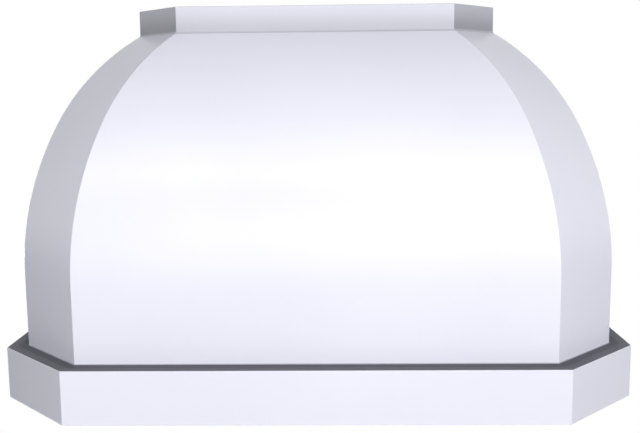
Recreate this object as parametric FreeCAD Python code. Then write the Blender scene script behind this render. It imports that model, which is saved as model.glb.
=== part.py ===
import FreeCAD, Part
import math
import os

# Wooden range hood cover: an apron with cut corners, a dome of bent panels on a
# skeleton of ribs and formers, and a short collar. Sizes are in millimetres.
# +Z is up and +X is to the right as seen from the front. The wall is the plane
# y = 0, the front faces -Y, and the origin is in the middle of the back, at the
# foot of the apron. Left and right are as seen from the front.

Vector = FreeCAD.Vector

# ---- overall sizes ---------------------------------------------------------
cover_width = 1219.2            # across the apron
cover_depth = 609.6             # from the wall to the front of the apron
apron_height = 101.6
apron_cant = 152.4              # leg of each 45 degree corner of the apron
ledge_width = 38.1              # flat rim between the apron's face and the dome
dome_height = 609.6
collar_height = 50.8

# ---- curve of the dome -----------------------------------------------------
plumb_height = 146.4            # straight foot of the dome
top_recess = 207.0              # how far the dome's top lies behind its foot
lower_sweep = 25.0              # degrees turned by the lower, larger arc
top_lean = 54.35                # degrees from upright at the dome's top edge
cant_taper = 0.815              # how fast the front panel narrows as it leans

# ---- stock -----------------------------------------------------------------
apron_board = 19.0
collar_board = 19.0
rail_board = 19.0               # back rails and ledger strips
panel = 18.0                    # plywood of the deck, top, ribs, formers, cleats
shell_thickness = 9.0           # bent plywood

# ---- eased edges and clearances --------------------------------------------
apron_round = 3.0               # upright corners of the apron
dome_round = 2.0                # mitred corners of the dome and the collar
edge_round = 1.5                # level edges of the apron and the collar
glue_gap = 0.2                  # between the skeleton and the bent panels
cleat_play = 0.3                # between the two halves of the cleat

# ---- skeleton --------------------------------------------------------------
rib_depth = 55.0
lower_former_rise = 177.8       # above the deck
upper_former_rise = 406.4

# ---- openings --------------------------------------------------------------
insert_side_margin = 177.8      # from the apron's face to the cut-out
insert_front_margin = 127.0
insert_back_margin = 76.2
insert_round = 8.0
insert_screw_inset = 19.0       # from the cut-out's edge to its pilot holes
insert_screw_end = 50.8         # from the cut-out's ends to its pilot holes
insert_pilot_radius = 1.75
duct_radius = 130.0
duct_setback = 180.0            # from the wall to the middle of the duct
duct_clearance = 8.0            # between the duct hole and the front ribs

# ---- wall fixing -----------------------------------------------------------
hanging_rail_height = 88.9
hood_cleat_height = 63.5        # at the wall
wall_cleat_height = 76.2        # at the wall
cleat_end_gap = 4.0             # between each cleat's end and the wall rib
stud_spacing = 406.4
wall_bolt_radius = 4.25
lower_bolt_rise = 38.1

# ---- ledgers and glue blocks -----------------------------------------------
ledger_height = 38.1
ledger_end_gap = 6.0
apron_block_leg = 44.0
apron_block_height = 63.5
collar_block_leg = 26.0
collar_block_height = 38.1

# ---- screws ----------------------------------------------------------------
screw_radius = 2.1
screw_head_radius = 4.2
screw_head_height = 2.6
screw_tip = 6.0
long_screw = 50.0
short_screw = 32.0
drive_width = 1.2               # arms of the cross recess
drive_span = 4.6
drive_depth = 1.8
screw_pitch = 150.0             # largest distance between screws in a row
screw_head_gap = 8.4            # from a screw head's edge to the nearest wood edge
foot_screw_shares = (0.3, 0.7)  # places across the depth of a rib's foot
rail_screw_shares = (0.25, 0.75)    # places up the height of the hanging rail

# ---- tolerances of the geometry tests ----------------------------------------
tolerance = 0.01
mitre_tolerance = 0.05

# ---- derived sizes ---------------------------------------------------------
half_width = cover_width / 2
mitre_slope = math.tan(math.radians(22.5))
deck_top = apron_height
deck_low = deck_top - panel
dome_top = deck_top + dome_height
top_panel_low = dome_top - panel
cover_top = dome_top + collar_height
plumb_top = deck_top + plumb_height
rib_inset = shell_thickness + glue_gap
lap_inset = rib_inset + rib_depth / 2
cant_stretch = (1 + cant_taper) / math.sqrt(2)
wall_rib_front = -panel
hanging_rail_front = wall_rib_front - panel


def solve_radii():
    """Radii of the two tangent arcs that reach the dome's top edge."""
    low = math.radians(lower_sweep)
    high = math.radians(top_lean)
    rise = dome_height - plumb_height
    sine_step = math.sin(high) - math.sin(low)
    cosine_step = math.cos(low) - math.cos(high)
    first_rise = math.sin(low)
    first_recess = 1 - math.cos(low)
    scale = first_rise * cosine_step - first_recess * sine_step
    lower = (rise * cosine_step - top_recess * sine_step) / scale
    upper = (top_recess * first_rise - rise * first_recess) / scale
    return lower, upper


lower_radius, upper_radius = solve_radii()
knee_angle = math.radians(lower_sweep)
upper_centre_recess = lower_radius - (lower_radius - upper_radius) * math.cos(knee_angle)
upper_centre_height = plumb_top + (lower_radius - upper_radius) * math.sin(knee_angle)


def end_angle(inset):
    """Angle at which the upper arc, set in by inset, reaches the dome's top."""
    ratio = (dome_top - upper_centre_height) / (upper_radius - inset)
    return math.asin(min(ratio, 0.995))


def recess_at(height, inset):
    """How far the front or side face, set in by inset, lies behind the foot."""
    if height <= plumb_top:
        return inset
    lower_reach = lower_radius - inset
    if height <= plumb_top + lower_reach * math.sin(knee_angle):
        return lower_radius - math.sqrt(lower_reach ** 2 - (height - plumb_top) ** 2)
    upper_reach = upper_radius - inset
    rise = min(height - upper_centre_height, upper_reach * math.sin(end_angle(inset)))
    return upper_centre_recess - math.sqrt(upper_reach ** 2 - rise ** 2)


# ---- plan outlines ---------------------------------------------------------
def band_plan(half_span, front, cant):
    """Six points of a band with cut corners, from wall to wall, left to right."""
    return [
        Vector(-half_span, 0, 0),
        Vector(-half_span, front + cant, 0),
        Vector(-half_span + cant, front, 0),
        Vector(half_span - cant, front, 0),
        Vector(half_span, front + cant, 0),
        Vector(half_span, 0, 0),
    ]


def inset_band(band, inset):
    half_span, front, cant = band
    return half_span - inset, front + inset, cant - inset * (1 - mitre_slope)


apron_band = (half_width, -cover_depth, apron_cant)
foot_band = inset_band(apron_band, ledge_width)
collar_band = (
    foot_band[0] - top_recess,
    foot_band[1] + top_recess,
    foot_band[2] - top_recess * (1 - cant_taper),
)


def prism(points, low, high):
    corners = [Vector(point.x, point.y, low) for point in points]
    face = Part.Face(Part.makePolygon(corners + corners[:1]))
    return face.extrude(Vector(0, 0, high - low))


def block(x_low, x_high, y_low, y_high, z_low, z_high):
    size = (x_high - x_low, y_high - y_low, z_high - z_low)
    return Part.makeBox(*size, Vector(x_low, y_low, z_low))


def mirrored(shape):
    return shape.mirror(Vector(0, 0, 0), Vector(1, 0, 0))


def sectors(band, slope, reach_out, reach_in, low, high):
    """Front, right corner and right side regions, parted at the mitre lines."""
    plan = band_plan(*band)
    front_corner = plan[3]
    side_corner = plan[4]
    front_in = Vector(-slope, 1, 0)
    side_in = Vector(-1, slope, 0)
    front_far = front_corner - front_in * reach_out
    front_near = front_corner + front_in * reach_in
    side_far = side_corner - side_in * reach_out
    side_near = side_corner + side_in * reach_in
    front_points = [
        Vector(-front_far.x, front_far.y, 0),
        front_far,
        front_near,
        Vector(-front_near.x, front_near.y, 0),
    ]
    side_points = [side_far, side_near, Vector(side_near.x, 0, 0), Vector(side_far.x, 0, 0)]
    return {
        "front": prism(front_points, low, high),
        "cant": prism([front_far, side_far, side_near, front_near], low, high),
        "side": prism(side_points, low, high),
    }


def part_at_mitres(ring, prefix, regions):
    """Cut a band at its mitres into five boards with names."""
    boards = {prefix + "_front": ring.common(regions["front"])}
    for place in ("cant", "side"):
        right = ring.common(regions[place])
        boards[prefix + "_" + place + "_right"] = right
        boards[prefix + "_" + place + "_left"] = mirrored(right)
    return boards


# ---- banded boards: apron and collar ---------------------------------------
def is_outer_corner(edge, plan):
    """True for the upright edges at the four corners that aren't at the wall."""
    ends = [vertex.Point for vertex in edge.Vertexes]
    if len(ends) < 2 or math.hypot(ends[0].x - ends[1].x, ends[0].y - ends[1].y) > tolerance:
        return False
    return any(math.hypot(ends[0].x - p.x, ends[0].y - p.y) < tolerance for p in plan[1:5])


def is_outer_rim(edge, heights):
    """True for the level edges at the given heights, except along the wall."""
    ends = [vertex.Point for vertex in edge.Vertexes]
    at_wall = all(abs(end.y) < tolerance for end in ends)
    at_height = any(all(abs(end.z - height) < tolerance for end in ends) for height in heights)
    return at_height and not at_wall


def eased_band(band, board, low, high, corner_round, ease_bottom):
    """Ring of boards with rounded corners and eased outer level edges."""
    plan = band_plan(*band)
    outer = prism(plan, low, high)
    uprights = [edge for edge in outer.Edges if is_outer_corner(edge, plan)]
    outer = outer.makeFillet(corner_round, uprights)
    heights = [high]
    if ease_bottom:
        heights.append(low)
    rims = [edge for edge in outer.Edges if is_outer_rim(edge, heights)]
    outer = outer.makeFillet(edge_round, rims)
    inner = prism(band_plan(*inset_band(band, board)), low, high)
    return outer.cut(inner)


def make_apron():
    ring = eased_band(apron_band, apron_board, 0, apron_height, apron_round, True)
    regions = sectors(apron_band, mitre_slope, ledge_width, apron_board * 2, 0, apron_height)
    return part_at_mitres(ring, "apron", regions)


def make_collar():
    ring = eased_band(collar_band, collar_board, dome_top, cover_top, dome_round, False)
    regions = sectors(collar_band, mitre_slope, ledge_width, collar_board * 2, dome_top, cover_top)
    return part_at_mitres(ring, "collar", regions)


# ---- dome ------------------------------------------------------------------
def arc_edge(place, stretch, recess, height, radius, start, end):
    def point(angle):
        return place(recess - radius * math.cos(angle), height + radius * math.sin(angle))
    if stretch == 1:
        return Part.Arc(point(start), point((start + end) / 2), point(end)).toShape()
    ellipse = Part.Ellipse(
        place(recess - radius, height), place(recess, height + radius), place(recess, height))
    return Part.ArcOfEllipse(ellipse, start, end).toShape()


def behind_face(inset, stretch, origin, inward, sweep, reach):
    """Solid behind one curved face of the dome, with the face set in by inset."""
    def place(recess, height):
        return origin + inward * (stretch * recess - (stretch - 1) * inset) + Vector(0, 0, height)

    last = end_angle(inset)
    top_height = upper_centre_height + (upper_radius - inset) * math.sin(last)
    lower = arc_edge(place, stretch, lower_radius, plumb_top, lower_radius - inset, 0, knee_angle)
    upper = arc_edge(place, stretch, upper_centre_recess, upper_centre_height,
                     upper_radius - inset, knee_angle, last)
    foot = place(inset, deck_top)
    spring = place(inset, plumb_top)
    crown = upper.valueAt(upper.LastParameter)
    far_top = origin + inward * reach + Vector(0, 0, top_height)
    far_foot = origin + inward * reach + Vector(0, 0, deck_top)
    edges = [
        Part.makeLine(foot, spring),
        lower,
        upper,
        Part.makeLine(crown, far_top),
        Part.makeLine(far_top, far_foot),
        Part.makeLine(far_foot, foot),
    ]
    return Part.Face(Part.Wire(edges)).extrude(sweep)


def vault(inset):
    """The dome as one solid, with all its curved faces set in by inset."""
    half_span, front, cant = foot_band
    across = Vector(cover_width, 0, 0)
    along = Vector(0, cover_depth, 0)
    far = cover_width + cover_depth
    front_solid = behind_face(
        inset, 1, Vector(-half_width, front, 0), Vector(0, 1, 0), across, cover_depth)
    side_solid = behind_face(
        inset, 1, Vector(half_span, -cover_depth, 0), Vector(-1, 0, 0), along, cover_width)
    slant = Vector(1, 1, 0).normalize()
    corner_start = Vector(half_span - cant, front, 0) - slant * far
    cant_solid = behind_face(
        inset, cant_stretch, corner_start, Vector(-1, 1, 0).normalize(), slant * (far * 2), far)
    shape = front_solid.common(side_solid).common(mirrored(side_solid))
    return shape.common(cant_solid).common(mirrored(cant_solid))


def on_mitre(edge):
    """True for the edges where two faces of the dome meet."""
    plan = band_plan(*foot_band)
    ends = [edge.valueAt(edge.FirstParameter), edge.valueAt(edge.LastParameter)]
    if abs(ends[0].z - ends[1].z) < tolerance:
        return False
    for corner, inward in ((plan[3], Vector(-cant_taper, 1, 0)), (plan[4], Vector(-1, cant_taper, 0))):
        across = Vector(inward.y, -inward.x, 0).normalize()
        if all(abs((Vector(abs(p.x), p.y, 0) - corner).dot(across)) < mitre_tolerance for p in ends):
            return True
    return False


def make_shell():
    outer = vault(0)
    outer = outer.makeFillet(dome_round, [edge for edge in outer.Edges if on_mitre(edge)])
    shell = outer.cut(vault(shell_thickness))
    reach_in = top_recess + shell_thickness * 4
    regions = sectors(foot_band, cant_taper, ledge_width, reach_in, deck_top, dome_top)
    return part_at_mitres(shell, "shell", regions)


# ---- skeleton --------------------------------------------------------------
def plate(origin, inward, low, high):
    """Upright sheet of panel thickness, from the foot line inwards."""
    reach = top_recess + rib_depth * 3
    half = Vector(inward.y, -inward.x, 0).normalize() * (panel / 2)
    start = origin - inward * ledge_width
    end = origin + inward * reach
    return prism([start - half, start + half, end + half, end - half], low, high)


def rib_lines():
    """Where each rib stands on the foot line, and which way it leans inwards."""
    plan = band_plan(*foot_band)
    half_span, front, cant = foot_band
    front_x = duct_radius + duct_clearance + panel / 2
    side_middle = (collar_band[1] + collar_band[2]) / 2
    wall_middle = wall_rib_front / 2
    return {
        "rib_front_right": (Vector(front_x, front, 0), Vector(0, 1, 0)),
        "rib_corner_front_right": (plan[3], Vector(-cant_taper, 1, 0)),
        "rib_corner_side_right": (plan[4], Vector(-1, cant_taper, 0)),
        "rib_side_right": (Vector(half_span, side_middle, 0), Vector(-1, 0, 0)),
        "rib_wall_right": (Vector(half_span, wall_middle, 0), Vector(-1, 0, 0)),
    }


def left_name(name):
    return name.replace("_right", "_left")


def slab(low, high):
    return block(-half_width, half_width, -cover_depth, 0, low, high)


former_rises = {"former_lower": lower_former_rise, "former_upper": upper_former_rise}


def make_skeleton():
    """Ribs and formers, each notched to half its depth where they cross."""
    skin_side = vault(rib_inset)
    room_side = vault(rib_inset + rib_depth)
    lap_side = vault(lap_inset)
    notch_side = vault(lap_inset - glue_gap)
    frame = {}
    plates = []
    levels = [slab(deck_top + rise, deck_top + rise + panel) for rise in former_rises.values()]
    for name, (origin, inward) in rib_lines().items():
        sheet = plate(origin, inward, deck_top, top_panel_low)
        sheet = sheet.common(slab(deck_top, top_panel_low))
        plates.extend([sheet, mirrored(sheet)])
        rib = sheet.common(skin_side).cut(room_side)
        for level in levels:
            rib = rib.cut(level.common(notch_side))
        frame[name] = rib
        frame[left_name(name)] = mirrored(rib)
    for name, level in zip(former_rises, levels):
        former = level.common(skin_side).cut(room_side)
        for sheet in plates:
            former = former.cut(sheet.cut(lap_side))
        frame[name] = former
    return frame


def insert_cutout():
    """Low and high corners of the cut-out in the deck, in plan."""
    half_span = half_width - insert_side_margin
    return -half_span, half_span, -cover_depth + insert_front_margin, -insert_back_margin


def insert_pilots():
    x_low, x_high, y_low, y_high = insert_cutout()
    return [
        Vector(x, y, deck_low)
        for x in (x_low + insert_screw_end, x_high - insert_screw_end)
        for y in (y_low - insert_screw_inset, y_high + insert_screw_inset)
    ]


def make_deck():
    deck = prism(band_plan(*inset_band(apron_band, apron_board)), deck_low, deck_top)
    opening = block(*insert_cutout(), deck_low, deck_top)
    corners = [edge for edge in opening.Edges if abs(edge.BoundBox.ZLength - panel) < tolerance]
    deck = deck.cut(opening.makeFillet(insert_round, corners))
    for pilot in insert_pilots():
        deck = deck.cut(Part.makeCylinder(insert_pilot_radius, panel, pilot))
    return deck


def make_top_panel():
    top = slab(top_panel_low, dome_top).common(vault(rib_inset))
    return top.cut(Part.makeCylinder(duct_radius, panel, Vector(0, -duct_setback, top_panel_low)))


# ---- wall side -------------------------------------------------------------
def wall_holes(height):
    return [
        Part.makeCylinder(wall_bolt_radius, rail_board * 3, Vector(x, -rail_board * 2, height),
                          Vector(0, 1, 0))
        for x in (-stud_spacing / 2, stud_spacing / 2)
    ]


def make_back_rail():
    span = half_width - apron_board
    rail = block(-span, span, -rail_board, 0, 0, deck_low)
    for hole in wall_holes(lower_bolt_rise):
        rail = rail.cut(hole)
    return rail


def make_hanging_rail():
    low = top_panel_low - hanging_rail_height
    rail = block(-half_width, half_width, hanging_rail_front, wall_rib_front, low, top_panel_low)
    return rail.common(vault(rib_inset))


def make_collar_back_rail():
    half_span = inset_band(collar_band, collar_board)[0]
    return block(-half_span, half_span, -rail_board, 0, dome_top, cover_top)


def side_face(height, inset):
    """Distance from the middle of the cover to a side face set in by inset."""
    return foot_band[0] - recess_at(height, inset)


bevel_height = top_panel_low - hood_cleat_height
wall_cleat_depth = panel - cleat_play
wall_bevel_height = bevel_height - cleat_play * math.sqrt(2)
wall_cleat_low = wall_bevel_height - wall_cleat_height


def cleat_half_length(height):
    """Half the length that a cleat has between the wall ribs, if its top is at height."""
    return side_face(height, rib_inset + rib_depth) - cleat_end_gap


hood_cleat_half = cleat_half_length(top_panel_low)
wall_cleat_half = cleat_half_length(wall_bevel_height + wall_cleat_depth)


def cleat(half_length, profile):
    corners = [Vector(-half_length, y, z) for y, z in profile]
    face = Part.Face(Part.makePolygon(corners + corners[:1]))
    return face.extrude(Vector(2 * half_length, 0, 0))


def make_hood_cleat():
    return cleat(hood_cleat_half, [
        (0, bevel_height),
        (0, top_panel_low),
        (-panel, top_panel_low),
        (-panel, bevel_height + panel),
    ])


def make_wall_cleat():
    bar = cleat(wall_cleat_half, [
        (0, wall_cleat_low),
        (0, wall_bevel_height),
        (-wall_cleat_depth, wall_bevel_height + wall_cleat_depth),
        (-wall_cleat_depth, wall_cleat_low),
    ])
    for hole in wall_holes(wall_cleat_low + wall_cleat_height / 2):
        bar = bar.cut(hole)
    return bar


# ---- ledger strips and glue blocks -----------------------------------------
corner_names = ("side_left", "front_left", "front_right", "side_right")
strip_names = ("side_left", "cant_left", "front", "cant_right", "side_right")


def glue_blocks(band, leg, low, high, prefix):
    """Three-sided blocks in the four inner corners of a band."""
    plan = band_plan(*band)
    blocks = {}
    for index, name in enumerate(corner_names, start=1):
        corner = plan[index]
        before = (plan[index - 1] - corner).normalize() * leg
        after = (plan[index + 1] - corner).normalize() * leg
        blocks[prefix + name] = prism([corner, corner + after, corner + before], low, high)
    return blocks


def ledger_lines():
    """Start, direction, inward normal and length of each ledger strip, in plan."""
    plan = band_plan(*inset_band(apron_band, apron_board))
    corner_gap = apron_block_leg + ledger_end_gap
    wall_gap = rail_board + ledger_end_gap
    lines = {}
    for index, name in enumerate(strip_names):
        start_gap = wall_gap if index == 0 else corner_gap
        end_gap = wall_gap if index == len(strip_names) - 1 else corner_gap
        span = plan[index + 1] - plan[index]
        direction = Vector(span).normalize()
        start = plan[index] + direction * start_gap
        inward = Vector(-direction.y, direction.x, 0)
        lines[name] = (start, direction, inward, span.Length - start_gap - end_gap)
    return lines


def make_ledgers():
    strips = {}
    for name, (start, direction, inward, length) in ledger_lines().items():
        end = start + direction * length
        depth = inward * rail_board
        strips["ledger_" + name] = prism(
            [start, end, end + depth, start + depth], deck_low - ledger_height, deck_low)
    return strips


# ---- screws ----------------------------------------------------------------
def screw_blank(length):
    head = Part.makeCone(screw_head_radius, screw_radius, screw_head_height)
    shank_length = length - screw_head_height - screw_tip
    shank = Part.makeCylinder(screw_radius, shank_length, Vector(0, 0, screw_head_height))
    tip = Part.makeCone(screw_radius, screw_radius / 6, screw_tip, Vector(0, 0, length - screw_tip))
    return head.fuse(shank).fuse(tip).removeSplitter()


def cross_recess():
    arm = Part.makeBox(drive_span, drive_width, drive_depth,
                       Vector(-drive_span / 2, -drive_width / 2, 0))
    other = Part.makeBox(drive_width, drive_span, drive_depth,
                         Vector(-drive_width / 2, -drive_span / 2, 0))
    return arm.fuse(other).removeSplitter()


def drive(names, group, length, places):
    """Drive a group of screws, each given by its head's place and direction."""
    blank = screw_blank(length)
    screws = []
    holes = []
    for head, direction in places:
        seat = FreeCAD.Placement(head, FreeCAD.Rotation(Vector(0, 0, 1), direction))
        hole = blank.copy()
        hole.Placement = seat
        recess = cross_recess()
        recess.Placement = seat
        holes.append(hole)
        screws.append(hole.cut(recess))
    for name in names:
        touching = [hole for hole in holes if hole.BoundBox.intersect(pieces[name].BoundBox)]
        if touching:
            pieces[name] = pieces[name].cut(touching)
    pieces[group] = Part.makeCompound(screws)


def both_sides(places):
    """The given places and their mirror images."""
    flipped = [
        (Vector(-head.x, head.y, head.z), Vector(-way.x, way.y, way.z)) for head, way in places
    ]
    return places + flipped


def row(length, skip_ends):
    """Distances along a strip: the middle of each bay, or the marks between bays."""
    bays = max(2, math.ceil(length / screw_pitch))
    if skip_ends:
        return [length * index / bays for index in range(1, bays)]
    return [length * (index + 0.5) / bays for index in range(bays)]


def drive_ledger_screws():
    lines = ledger_lines()
    boards = ["apron_" + name for name in apron_boards]
    strips = ["ledger_" + name for name in strip_names]
    sideways = []
    upwards = []
    middle = deck_low - ledger_height / 2
    for start, direction, inward, length in lines.values():
        for distance in row(length, False):
            place = start + direction * distance + inward * rail_board
            sideways.append((place + Vector(0, 0, middle), inward * -1))
        for distance in row(length, True):
            place = start + direction * distance + inward * (rail_board / 2)
            upwards.append((place + Vector(0, 0, deck_low - ledger_height), Vector(0, 0, 1)))
    drive(strips + boards, "ledger_screws", short_screw, sideways)
    drive(strips + ["deck"], "deck_screws", long_screw, upwards)


def drive_rib_screws():
    feet = []
    tops = []
    foot_ribs = []
    top_ribs = []
    head_recess = top_recess + collar_board + screw_head_radius + screw_head_gap
    for name, (origin, inward) in rib_lines().items():
        if "wall" not in name:
            foot_ribs.extend([name, left_name(name)])
            for share in foot_screw_shares:
                place = origin + inward * (rib_inset + rib_depth * share)
                feet.append((place + Vector(0, 0, deck_low), Vector(0, 0, 1)))
        if "corner" not in name:
            top_ribs.extend([name, left_name(name)])
            place = origin + inward * head_recess
            tops.append((place + Vector(0, 0, dome_top), Vector(0, 0, -1)))
    drive(foot_ribs + ["deck"], "rib_foot_screws", long_screw, both_sides(feet))
    drive(top_ribs + ["top_panel"], "top_panel_screws", long_screw, both_sides(tops))


def drive_wall_side_screws():
    rail_low = top_panel_low - hanging_rail_height
    rail_places = []
    for share in rail_screw_shares:
        height = rail_low + hanging_rail_height * share
        x = side_face(height, lap_inset)
        rail_places.append((Vector(x, hanging_rail_front, height), Vector(0, 1, 0)))
    drive(["hanging_rail", "rib_wall_right", "rib_wall_left"], "hanging_rail_screws",
          short_screw, both_sides(rail_places))
    cleat_middle = (bevel_height + panel + top_panel_low) / 2
    cleat_places = [
        (Vector(distance - hood_cleat_half, 0, cleat_middle), Vector(0, -1, 0))
        for distance in row(2 * hood_cleat_half, False)
    ]
    drive(["hood_cleat", "hanging_rail"], "cleat_screws", short_screw, cleat_places)
    half_run = side_face(deck_top, rib_inset + rib_depth) - screw_head_radius - screw_head_gap
    rail_row = [
        (Vector(distance - half_run, -rail_board / 2, deck_top), Vector(0, 0, -1))
        for distance in row(2 * half_run, True)
    ]
    drive(["deck", "back_rail"], "back_rail_screws", long_screw, rail_row)


def drive_collar_screws():
    names = ["collar_block_" + name for name in corner_names]
    places = []
    for name in names:
        middle = pieces[name].CenterOfMass
        places.append((Vector(middle.x, middle.y, dome_top + collar_block_height), Vector(0, 0, -1)))
    drive(names + ["top_panel"], "collar_screws", long_screw, places)


# ---- the whole cover -------------------------------------------------------
pieces = {}
pieces.update(make_apron())
apron_boards = [name.replace("apron_", "") for name in pieces]
pieces["deck"] = make_deck()
pieces.update(make_ledgers())
inner_apron = inset_band(apron_band, apron_board)
pieces.update(glue_blocks(
    inner_apron, apron_block_leg, deck_low - apron_block_height, deck_low, "apron_block_"))
pieces["back_rail"] = make_back_rail()
pieces.update(make_shell())
pieces.update(make_skeleton())
pieces["top_panel"] = make_top_panel()
pieces["hanging_rail"] = make_hanging_rail()
pieces["hood_cleat"] = make_hood_cleat()
pieces["wall_cleat"] = make_wall_cleat()
pieces.update(make_collar())
inner_collar = inset_band(collar_band, collar_board)
pieces.update(glue_blocks(
    inner_collar, collar_block_leg, dome_top, dome_top + collar_block_height, "collar_block_"))
pieces["collar_back_rail"] = make_collar_back_rail()
drive_ledger_screws()
drive_rib_screws()
drive_wall_side_screws()
drive_collar_screws()

os.makedirs("parts", exist_ok=True)
for name, shape in pieces.items():
    solid = shape.Solids[0] if len(shape.Solids) == 1 else Part.makeCompound(shape.Solids)
    solid.exportStep("parts/" + name + ".step")
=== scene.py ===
import math

import bmesh
import bpy
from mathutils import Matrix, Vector


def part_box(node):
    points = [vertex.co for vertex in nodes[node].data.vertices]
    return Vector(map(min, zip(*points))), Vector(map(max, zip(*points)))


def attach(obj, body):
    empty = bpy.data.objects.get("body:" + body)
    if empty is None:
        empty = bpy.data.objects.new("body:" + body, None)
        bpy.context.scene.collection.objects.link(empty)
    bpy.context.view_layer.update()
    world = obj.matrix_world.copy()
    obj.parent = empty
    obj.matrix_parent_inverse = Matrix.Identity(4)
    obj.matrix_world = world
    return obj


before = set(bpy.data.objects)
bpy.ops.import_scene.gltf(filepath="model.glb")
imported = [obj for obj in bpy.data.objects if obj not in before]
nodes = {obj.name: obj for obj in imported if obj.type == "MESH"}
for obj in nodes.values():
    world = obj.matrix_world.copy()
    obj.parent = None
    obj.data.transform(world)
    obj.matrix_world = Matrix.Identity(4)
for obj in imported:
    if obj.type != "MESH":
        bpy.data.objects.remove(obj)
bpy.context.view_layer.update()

# Looks of a wooden range hood cover: satin white paint over sanded boards and bent
# plywood, bare birch plywood and poplar inside, and zinc plated screws. Lengths are in
# metres and angles in degrees. Left and right are as seen from the front.

# ---- camera ------------------------------------------------------------------
camera_place = (0.0444, -2.0907, 0.5833)
camera_turn = (82.123, 0.559, 1.166)
lens = 48.535                               # mm, on a sensor 36 mm wide
sensor = 36.0

# ---- light -------------------------------------------------------------------
aim = Vector((0, -0.3, 0.38))               # what the lamps point at
ambient = 0.095                             # what the room adds from all sides
softboxes = {                               # azimuth, elevation, distance, size, watts
    "key_top": (0, 39, 3.2, (3.6, 0.3), 10),
    "key_high": (0, 28, 3.2, (3.6, 0.3), 27),
    "key_low": (0, 3, 2.6, (1.4, 1.1), 13.7),
    "fill_left": (-25, 0, 2.6, (1.4, 1.1), 4.2),
    "fill_right": (30, 8, 8.0, (4.0, 3.0), 250),
    "back_left": (-137, -3, 4.0, (1.2, 1.2), 85),
    "back_right": (137, -3, 4.0, (1.2, 1.2), 85),
}

# ---- floor -------------------------------------------------------------------
floor_drop = 1.7                            # the foot of the cover hangs this high
floor_reach = 30.0
floor_sides = 96
floor_grey = 0.85
near_lift = 0.5                             # glow that the camera alone sees close by
fade_start = 1.6                            # between these distances from its middle
fade_end = 3.4                              # the floor turns to the backdrop's white

# ---- materials ---------------------------------------------------------------
# Noise: marks per metre along and across the grain, detail, and strength of the detail.
# Even noise, the same all ways: marks per metre, and detail.
# Rings: radians per metre, and how far the figure bends them.
# Range: the part of a pattern over which it turns from 0 to 1.
# Share: how much a pattern or a colour counts.
# Roughness: how much the pattern adds, and the least.
# Depth: how high the pattern stands.
white = (1.0, 1.0, 1.0, 1.0)
black = (0.0, 0.0, 0.0, 1.0)

birch_light = (0.74, 0.58, 0.39)
birch_dark = (0.58, 0.41, 0.24)
birch_core = (0.38, 0.25, 0.14)
birch_figure = (1.6, 9.0, 3.0, 0.55)
birch_flame = (3.0, 30.0, 4.0, 0.6)
birch_flame_share = 0.5
birch_rings = (160.0, 26.0)
birch_ring_range = (-1.2, 1.4)
birch_ring_share = 0.45
birch_tone_range = (0.15, 0.95)
birch_pores = (45.0, 1500.0, 2.0, 0.6)
birch_pore_range = (0.62, 0.75)
birch_roughness = (0.2, 0.5)
veneer = 0.0014                             # one layer of the plywood, seen at its edge
veneer_range = (0.45, 0.85)
veneer_fleck = (500.0, 900.0, 3.0, 0.6)
veneer_fleck_range = (0.6, 0.8)
veneer_fleck_share = 0.3

poplar_light = (0.70, 0.585, 0.41)
poplar_dark = (0.545, 0.445, 0.275)
poplar_figure = (1.2, 14.0, 3.0, 0.5)
poplar_streak = (8.0, 260.0, 3.0, 0.6)
poplar_streak_share = 0.65
poplar_rings = (520.0, 24.0)
poplar_ring_range = (-1.4, 1.4)
poplar_ring_share = 0.35
poplar_tone_range = (0.2, 0.95)
poplar_end_share = 0.45                     # of the darker tone at the ends of a board
poplar_roughness = (0.2, 0.48)
wood_depth = 0.00006

paint_white = (0.82, 0.82, 0.925)
paint_shade = (0.795, 0.795, 0.90)
paint_cloud = (2.5, 2.0)
paint_cloud_range = (0.3, 0.7)
paint_peel = (420.0, 2.0)                   # orange peel from the spray gun
paint_grain = (14.0, 520.0, 2.0, 0.5)
paint_grain_share = 0.35
paint_roughness = (0.06, 0.27)
paint_depth = 0.00003
mixed_depth = 0.00004                       # where one piece is both painted and bare

zinc_light = (0.72, 0.66, 0.46)
zinc_dark = (0.52, 0.47, 0.33)
zinc_cloud = (600.0, 3.0)
zinc_cloud_range = (0.35, 0.65)
zinc_roughness = (0.25, 0.3)
zinc_depth = 0.00002

# ---- painted shade on the paint ----------------------------------------------
# Painted shade: the ledge and the collar are darkened in their colour to stand in for shade, not
# dirt.
ledge_shadow_grey = (0.11, 0.11, 0.125)
ledge_shade = 0.94                          # share of the painted shadow grey where it is closed in
ledge_roughness = 1.0
ledge_gloss = 0.05
bead_shade = 0.6                            # share of the ledge's painted shade on the bead beside it
closed_in = (1.0, 0.72)                     # open share of the view, from no shade to full
crease_reach = 0.2                          # how far away a surface still closes another in
crease_samples = 16
foot_margin = (-0.002, -0.001)              # the ledge's paint ends just under the dome
# Painted shade on the collar: darker towards its foot, and darker still on its corner boards.
collar_shadow_grey = (0.14, 0.14, 0.155)
collar_shade_top = 0.24
collar_shade_foot = 0.52
cant_shade = 0.26                           # and more painted shade on the collar's corner boards

# ---- cosines from where a surface doesn't face a direction to where it does --------
faces_up = (0.8, 0.95)
faces_sideways = (0.95, 0.8)                # the same, but for not facing up
faces_up_roughly = (0.4, 0.6)
faces_along = (0.6, 0.7)
faces_out = (0.02, 0.06)

# ---- directions and slopes ---------------------------------------------------
right = Vector((1, 0, 0))
back = Vector((0, 1, 0))
up = Vector((0, 0, 1))
slant = Vector((1, 1, 0)).normalized()      # along the right corner boards
cant_out = Vector((1, -1, 0)).normalized()  # out of the right corner boards
diagonal = math.sqrt(0.5)
rib_slope = 0.815                           # how a corner rib runs across as it runs back
mitre_slope = math.tan(math.radians(22.5))
top_lean = math.radians(54.35)              # how far the dome leans back under the collar

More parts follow.
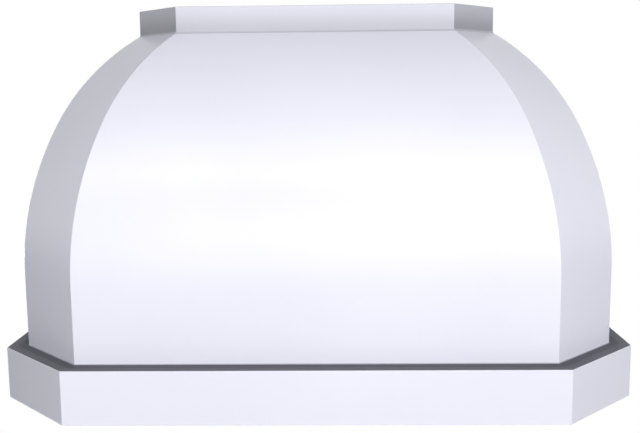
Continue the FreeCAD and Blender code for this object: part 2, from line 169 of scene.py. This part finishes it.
# ---- caulk beads -------------------------------------------------------------
foot_bead = 0.0015                          # how wide the bead is on each side
foot_bead_pull = 0.2                        # where its hollow aims, 0 for right in the corner
collar_bead = 0.0025
collar_bead_pull = 0.1
bead_sink = 0.0003                          # how far a bead sinks into what it lies on
bead_steps = 6


def flipped(direction):
    """The same direction on the other side of the cover."""
    return Vector((-direction.x, direction.y, direction.z))


def opaque(colour):
    """A colour for a node: a socket as it is, and three numbers with a fourth of 1."""
    return colour if isinstance(colour, bpy.types.NodeSocket) else (*colour, 1)


# ---- shader graphs -----------------------------------------------------------
class Graph:
    """Shader nodes that are added and linked one by one."""

    def __init__(self, owner):
        owner.use_nodes = True
        self.tree = owner.node_tree
        self.tree.nodes.clear()

    def add(self, kind, inputs=None, **settings):
        """A new node. Each input is a socket to link or a value to set."""
        node = self.tree.nodes.new("ShaderNode" + kind)
        for name, value in settings.items():
            setattr(node, name, value)
        for name, value in (inputs or {}).items():
            if isinstance(value, bpy.types.NodeSocket):
                self.tree.links.new(value, node.inputs[name])
            else:
                node.inputs[name].default_value = value
        return node

    def math(self, operation, *values):
        return self.add("Math", dict(enumerate(values)), operation=operation).outputs[0]

    def linear(self, value, slope, start):
        return self.math("ADD", self.math("MULTIPLY", value, slope), start)

    def total(self, first, second):
        """Sum of two products, each given as its two factors."""
        return self.math("ADD", self.math("MULTIPLY", *first), self.math("MULTIPLY", *second))

    def ramp(self, value, low, high):
        """0 on low's side and 1 on high's side, turning smoothly between them."""
        inputs = {"Value": value, "From Min": low, "From Max": high}
        return self.add("MapRange", inputs, interpolation_type="SMOOTHSTEP").outputs[0]

    def along(self, vector, direction):
        inputs = {0: vector, 1: tuple(direction)}
        return self.add("VectorMath", inputs, operation="DOT_PRODUCT").outputs["Value"]

    def blend(self, factor, first, second):
        """Blend of two numbers."""
        return self.add("Mix", {"Factor": factor, 2: first, 3: second}).outputs[0]

    def mix(self, factor, first, second):
        """Blend of two colours."""
        inputs = {"Factor": factor, 6: opaque(first), 7: opaque(second)}
        return self.add("Mix", inputs, data_type="RGBA").outputs[2]

    def noise(self, vector, scale, detail, roughness=0.5):
        inputs = {"Vector": vector, "Scale": scale, "Detail": detail, "Roughness": roughness}
        return self.add("TexNoise", inputs).outputs["Fac"]


class Surface(Graph):
    """The graph of one material, which reads places on the object itself."""

    def __init__(self, name):
        self.material = bpy.data.materials.new(name)
        super().__init__(self.material)
        place = self.add("TexCoord")
        self.point = place.outputs["Object"]
        self.normal = place.outputs["Normal"]

    def facing(self, direction, cosines):
        return self.ramp(self.along(self.normal, direction), *cosines)

    def board(self, grain, face):
        """Place across the grain, place through the board, and the whole place."""
        axes = (grain, face.cross(grain), face)
        run, across, through = (self.along(self.point, axis) for axis in axes)
        place = self.add("CombineXYZ", {0: run, 1: across, 2: through}).outputs[0]
        return across, through, place

    def grain_noise(self, place, along, across, detail, roughness):
        """Noise drawn out along the grain."""
        inputs = {0: place, 1: (along, across, across)}
        stretched = self.add("VectorMath", inputs, operation="MULTIPLY").outputs[0]
        return self.noise(stretched, 1.0, detail, roughness)

    def rings(self, distance, figure, pitch, waver):
        """Year rings, a wave from -1 to 1 that the figure bends."""
        return self.math("SINE", self.total((distance, pitch), (figure, waver)))

    def finish(self, colour, roughness, height, depth, **constants):
        """Link the look to a shader, with constants on the shader's own sockets."""
        bump = {"Height": height, "Distance": depth, "Strength": 1.0}
        inputs = {name.replace("_", " "): value for name, value in constants.items()}
        inputs["Base Color"] = colour
        inputs["Roughness"] = roughness
        inputs["Normal"] = self.add("Bump", bump).outputs[0]
        shader = self.add("BsdfPrincipled", inputs).outputs[0]
        self.add("OutputMaterial", {"Surface": shader})
        return self.material


# ---- looks: each gives a colour, a roughness and a height ----------------------------
def ply_face(graph, place, across, pores):
    """Colour of the figured face veneer of birch plywood."""
    figure = graph.grain_noise(place, *birch_figure)
    rings = graph.ramp(graph.rings(across, figure, *birch_rings), *birch_ring_range)
    flame = graph.grain_noise(place, *birch_flame)
    tone = graph.total((rings, birch_ring_share), (flame, birch_flame_share))
    colour = graph.mix(graph.ramp(tone, *birch_tone_range), birch_light, birch_dark)
    return graph.mix(graph.ramp(pores, *birch_pore_range), colour, birch_core)


def ply_edge(graph, place, through):
    """Colour of the edge of birch plywood, striped by its layers."""
    layer = graph.math("PINGPONG", graph.math("DIVIDE", through, veneer), 1.0)
    fleck = graph.grain_noise(place, *veneer_fleck)
    stripe = graph.ramp(graph.linear(fleck, veneer_fleck_share, layer), *veneer_range)
    colour = graph.mix(stripe, birch_light, birch_dark)
    return graph.mix(graph.ramp(fleck, *veneer_fleck_range), colour, birch_core)


def ply_look(graph, grain, face):
    """Sanded birch plywood: figured faces and striped edges."""
    across, through, place = graph.board(grain, face)
    pores = graph.grain_noise(place, *birch_pores)
    edge_colour = ply_edge(graph, place, through)
    face_colour = ply_face(graph, place, across, pores)
    facing = graph.math("ABSOLUTE", graph.along(graph.normal, face))
    colour = graph.mix(graph.ramp(facing, *faces_along), edge_colour, face_colour)
    return colour, graph.linear(pores, *birch_roughness), graph.math("SUBTRACT", 1.0, pores)


def poplar_look(graph, grain, face):
    """A planed board: long figure on its sides, rings and a darker tone at its ends."""
    across, through, place = graph.board(grain, face)
    figure = graph.grain_noise(place, *poplar_figure)
    radius = graph.math("SQRT", graph.total((across, across), (through, through)))
    rings = graph.ramp(graph.rings(radius, figure, *poplar_rings), *poplar_ring_range)
    streak = graph.grain_noise(place, *poplar_streak)
    tone = graph.total((rings, poplar_ring_share), (streak, poplar_streak_share))
    colour = graph.mix(graph.ramp(tone, *poplar_tone_range), poplar_light, poplar_dark)
    endwise = graph.math("ABSOLUTE", graph.along(graph.normal, grain))
    ends = graph.math("MULTIPLY", graph.ramp(endwise, *faces_along), poplar_end_share)
    colour = graph.mix(ends, colour, poplar_dark)
    return colour, graph.linear(streak, *poplar_roughness), streak


def paint_look(graph, grain, face):
    """Sprayed satin paint, with the grain faintly through it."""
    place = graph.board(grain, face)[-1]
    cloud = graph.noise(graph.point, *paint_cloud)
    colour = graph.mix(graph.ramp(cloud, *paint_cloud_range), paint_shade, paint_white)
    peel = graph.noise(graph.point, *paint_peel)
    grain_height = graph.grain_noise(place, *paint_grain)
    height = graph.linear(grain_height, paint_grain_share, peel)
    return colour, graph.linear(peel, *paint_roughness), height


def ledge_painted_shade_look(graph, colour, roughness, ledge):
    """The ledge's painted shade, darker by how closed in it is, and its flat paint."""
    inputs = {"Distance": crease_reach}
    open_share = graph.add("AmbientOcclusion", inputs, samples=crease_samples).outputs["AO"]
    crease = graph.math("MULTIPLY", graph.ramp(open_share, *closed_in), ledge_shade)
    colour = graph.mix(graph.math("MULTIPLY", crease, ledge), colour, ledge_shadow_grey)
    return colour, graph.blend(ledge, roughness, ledge_roughness)


def collar_painted_shade(graph, colour, slanted):
    """Painted shade: the collar is darker towards its foot and on its corner boards, but not on
    top.
    """
    foot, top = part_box("collar_front")
    drop = graph.ramp(graph.along(graph.point, up), top.z, foot.z)
    lower = graph.math("MULTIPLY", drop, collar_shade_foot - collar_shade_top)
    least = collar_shade_top + cant_shade if slanted else collar_shade_top
    upright = graph.facing(up, faces_sideways)
    shade = graph.math("MULTIPLY", graph.math("ADD", lower, least), upright)
    return graph.mix(shade, colour, collar_shadow_grey)


# ---- materials -----------------------------------------------------------------
made = {}


def named(key, maker, *values):
    """The material of that name, made once."""
    if key not in made:
        made[key] = maker(key, *values)
    return made[key]


def bare_material(name, look, grain, face):
    graph = Surface(name)
    return graph.finish(*look(graph, grain, face), wood_depth)


def painted_material(name, grain, outward, bare_look):
    """Paint on the faces that look outward, and bare wood or more paint on the others."""
    graph = Surface(name)
    colour, roughness, height = paint_look(graph, grain, outward)
    if name.startswith("paint_apron"):
        # painted shade on the apron's up-facing top edge, darker where the dome closes it in
        ledge = graph.facing(up, faces_up)
        colour, roughness = ledge_painted_shade_look(graph, colour, roughness, ledge)
    if name == "paint_bead_dome_foot":
        # painted shade on the foot bead, a share of the ledge's
        colour, roughness = ledge_painted_shade_look(graph, colour, roughness, bead_shade)
    if name.startswith(("paint_collar", "paint_bead_collar")):
        # painted shade on the collar and its bead
        colour = collar_painted_shade(graph, colour, "cant" in name)
    if bare_look is None:
        return graph.finish(colour, roughness, height, paint_depth)
    bare_colour, bare_roughness, bare_height = bare_look(graph, grain, outward)
    outwards = graph.along(graph.normal, outward)
    upwards = graph.along(graph.normal, up)
    painted = graph.ramp(graph.math("MAXIMUM", outwards, upwards), *faces_out)
    colour = graph.mix(painted, bare_colour, colour)
    roughness = graph.blend(painted, bare_roughness, roughness)
    height = graph.blend(painted, bare_height, height)
    return graph.finish(colour, roughness, height, mixed_depth)


def past_dome_foot(graph):
    """How far a point lies outside the dome's foot, and below 0 inside it."""
    front_low, front_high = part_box("shell_front")
    side_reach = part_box("shell_side_right")[1].x
    front_reach = -front_low.y
    corner_reach = (front_high.x + front_reach) * diagonal
    aside = graph.math("ABSOLUTE", graph.along(graph.point, right))
    forward = graph.along(graph.point, -back)
    cornerwise = graph.math("MULTIPLY", graph.math("ADD", aside, forward), diagonal)
    past_side = graph.math("SUBTRACT", aside, side_reach)
    past_front = graph.math("SUBTRACT", forward, front_reach)
    past_corner = graph.math("SUBTRACT", cornerwise, corner_reach)
    return graph.math("MAXIMUM", past_corner, graph.math("MAXIMUM", past_side, past_front))


def deck_material(name):
    """Painted on the ledge outside the dome's foot, and bare plywood inside and below."""
    graph = Surface(name)
    colour, _, height = paint_look(graph, right, up)
    bare_colour, bare_roughness, bare_height = ply_look(graph, right, up)
    outside = graph.ramp(past_dome_foot(graph), *foot_margin)
    ledge = graph.math("MULTIPLY", outside, graph.facing(up, faces_up_roughly))
    colour = graph.mix(ledge, bare_colour, colour)
    # painted shade on the ledge, darker where the dome closes it in
    colour, roughness = ledge_painted_shade_look(graph, colour, bare_roughness, ledge)
    height = graph.blend(ledge, bare_height, height)
    return graph.finish(colour, roughness, height, mixed_depth, Specular_IOR_Level=ledge_gloss)


def screw_material(name):
    graph = Surface(name)
    cloud = graph.noise(graph.point, *zinc_cloud)
    colour = graph.mix(graph.ramp(cloud, *zinc_cloud_range), zinc_light, zinc_dark)
    roughness = graph.linear(cloud, *zinc_roughness)
    return graph.finish(colour, roughness, cloud, zinc_depth, Metallic=1.0)


# ---- which wood runs which way -------------------------------------------------
band_lines = {                              # grain and outward face of each side
    "front": (right, -back),
    "side_right": (back, right),
    "side_left": (back, -right),
    "cant_right": (slant, cant_out),
    "cant_left": (flipped(slant), flipped(cant_out)),
}
bare_inside = {"apron": None, "shell": ply_look, "collar": poplar_look}
front_rib_way = Vector((-rib_slope, 1, 0)).normalized()
side_rib_way = Vector((-1, rib_slope, 0)).normalized()
rib_faces = {                               # of the ribs on the right
    "rib_front": right,
    "rib_side": back,
    "rib_wall": back,
    "rib_corner_front": front_rib_way.cross(up),
    "rib_corner_side": side_rib_way.cross(up),
}
ply_faces = {
    "former_lower": up,
    "former_upper": up,
    "top_panel": up,
    "hanging_rail": back,
    "hood_cleat": back,
    "wall_cleat": back,
}


def material_for(name):
    """The finish of one CAD node."""
    kind, _, place = name.partition("_")
    if name.endswith("_screws"):
        return named("zinc", screw_material)
    if name == "deck":
        return named("deck_birch", deck_material)
    if name.endswith("back_rail"):
        return named("poplar_back", bare_material, poplar_look, right, back)
    if "_block_" in name:
        return named("poplar_block", bare_material, poplar_look, up, right)
    if kind == "ledger":
        return named("poplar_" + place, bare_material, poplar_look, *band_lines[place])
    if kind in bare_inside:
        grain, face = band_lines[place]
        return named("paint_" + name, painted_material, grain, face, bare_inside[kind])
    if kind == "rib":
        line, side = name.rsplit("_", 1)
        face = rib_faces[line] if side == "right" else flipped(rib_faces[line])
        return named("birch_" + name, bare_material, ply_look, up, face)
    return named("birch_" + name, bare_material, ply_look, right, ply_faces[name])


def dress_nodes():
    for name, node in nodes.items():
        node.data.materials.clear()
        node.data.materials.append(material_for(name))


# ---- caulk beads ------------------------------------------------------------------
def ring(corner, line, taper, offset, height):
    """Six points round the cover from wall to wall, an offset out from a line in plan.

    The line runs round a plan that is as deep as half its width, so one number serves
    for its front and its sides, and one for both ends of a cut corner. Taper is how far
    those ends move along the line for each metre of offset.
    """
    corner = corner + taper * offset
    line = line + offset
    half = [(line, 0), (line, -corner), (corner, -line)]
    left = [(-x, y) for x, y in half]
    return [Vector((x, y, height)) for x, y in left + half[::-1]]


def bead(name, corner, line, taper, rows):
    """A bead of painted caulk, with rows of (offset, height) round its section."""
    mesh = bpy.data.meshes.new(name)
    shape = bmesh.new()
    rings = [
        [shape.verts.new(point) for point in ring(corner, line, taper, offset, height)]
        for offset, height in rows
    ]
    for first, second in zip(rings, rings[1:] + rings[:1]):
        for corners in zip(first, first[1:], second[1:], second):
            shape.faces.new(corners)
    shape.faces.new([each[0] for each in rings])
    shape.faces.new([each[-1] for each in rings][::-1])
    bmesh.ops.recalc_face_normals(shape, faces=shape.faces)
    shape.to_mesh(mesh)
    shape.free()
    piece = bpy.data.objects.new(name, mesh)
    bpy.context.scene.collection.objects.link(piece)
    mesh.materials.append(named("paint_" + name, painted_material, right, -back, None))
    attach(piece, "cover")


def hollow(start, corner, end):
    """Points (offset, height) of a concave curve between two points, drawn to a corner."""
    points = []
    for step in range(bead_steps + 1):
        t = step / bead_steps
        weights = ((1 - t) ** 2, 2 * t * (1 - t), t ** 2)
        points.append([
            sum(weight * value for weight, value in zip(weights, values))
            for values in zip(start, corner, end)
        ])
    return points


def make_foot_bead():
    """Caulk where the dome stands on the ledge."""
    low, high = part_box("shell_front")
    foot = low.z
    top = foot + foot_bead
    pull = foot_bead * foot_bead_pull
    rows = hollow((foot_bead, foot), (pull, foot + pull), (0, top))
    rows.append((-bead_sink, top))
    rows.append((-bead_sink, foot - bead_sink))
    rows.append((foot_bead, foot - bead_sink))
    bead("bead_dome_foot", high.x, -low.y, mitre_slope, rows)


def make_collar_bead():
    """Caulk where the collar stands on the leaning top of the dome."""
    low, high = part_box("collar_front")
    foot = low.z
    top = foot + collar_bead
    out = collar_bead * math.sin(top_lean)
    down = collar_bead * math.cos(top_lean)
    corner = (out * collar_bead_pull, foot + collar_bead * collar_bead_pull)
    rows = hollow((out, foot - down), corner, (0, top))
    rows.append((-bead_sink, top))
    rows.append((-bead_sink, foot - bead_sink))
    rows.append((out - bead_sink, foot - down - bead_sink))
    bead("bead_collar_foot", high.x, -low.y, rib_slope, rows)


# ---- floor, backdrop, lamps and camera ---------------------------------------------
def make_floor():
    """A pale floor that shows shadows near the cover and turns white further off."""
    bpy.ops.mesh.primitive_circle_add(
        vertices=floor_sides, radius=floor_reach, fill_type="NGON", location=(0, 0, -floor_drop))
    floor = bpy.context.object
    floor.name = "floor"
    graph = Surface("floor_white")
    reach = graph.add("VectorMath", {0: graph.point}, operation="LENGTH").outputs["Value"]
    far = graph.ramp(reach, fade_start, fade_end)
    seen = graph.add("LightPath").outputs["Is Camera Ray"]
    lift = graph.math("MULTIPLY", seen, graph.linear(far, 1 - near_lift, near_lift))
    glow = graph.add("Emission", {"Color": white, "Strength": lift}).outputs[0]
    pale = graph.add("BsdfDiffuse", {"Color": (floor_grey, floor_grey, floor_grey, 1)}).outputs[0]
    dark = graph.add("BsdfDiffuse", {"Color": black}).outputs[0]
    hidden = graph.math("MULTIPLY", far, seen)
    ground = graph.add("MixShader", {0: hidden, 1: pale, 2: dark}).outputs[0]
    surface = graph.add("AddShader", {0: ground, 1: glow}).outputs[0]
    graph.add("OutputMaterial", {"Surface": surface})
    floor.data.materials.append(graph.material)


def make_world():
    """White to the camera and in reflections, and dim light from all sides otherwise."""
    world = bpy.data.worlds.new("backdrop")
    graph = Graph(world)
    rays = graph.add("LightPath").outputs
    shown = graph.math("MAXIMUM", rays["Is Camera Ray"], rays["Is Glossy Ray"])
    shown = graph.math("MAXIMUM", shown, rays["Is Transmission Ray"])
    inputs = {"Value": shown, "To Min": ambient, "To Max": 1.0}
    strength = graph.add("MapRange", inputs).outputs[0]
    light = graph.add("Background", {"Color": white, "Strength": strength}).outputs[0]
    graph.add("OutputWorld", {"Surface": light})
    bpy.context.scene.world = world


def softbox(name, azimuth, elevation, distance, size, watts):
    """A lamp that faces the cover. Azimuth 0 is in front of it, and 90 is to its right."""
    turn = math.radians(azimuth)
    rise = math.radians(elevation)
    level = math.cos(rise)
    way = Vector((math.sin(turn) * level, -math.cos(turn) * level, math.sin(rise)))
    data = bpy.data.lights.new(name, "AREA")
    data.shape = "RECTANGLE"
    data.size, data.size_y = size
    data.energy = watts
    lamp = bpy.data.objects.new(name, data)
    lamp.location = aim + way * distance
    lamp.rotation_euler = way.to_track_quat("Z", "Y").to_euler()
    lamp.visible_camera = False
    bpy.context.scene.collection.objects.link(lamp)


def make_camera():
    data = bpy.data.cameras.new("camera")
    data.sensor_width = sensor
    data.lens = lens
    camera = bpy.data.objects.new("camera", data)
    camera.location = camera_place
    camera.rotation_euler = [math.radians(angle) for angle in camera_turn]
    bpy.context.scene.collection.objects.link(camera)
    bpy.context.scene.camera = camera


# ---- the whole scene ---------------------------------------------------------------
dress_nodes()
make_foot_bead()
make_collar_bead()
make_floor()
make_world()
for name, settings in softboxes.items():
    softbox(name, *settings)
make_camera()
bpy.context.scene.view_settings.view_transform = "Standard"
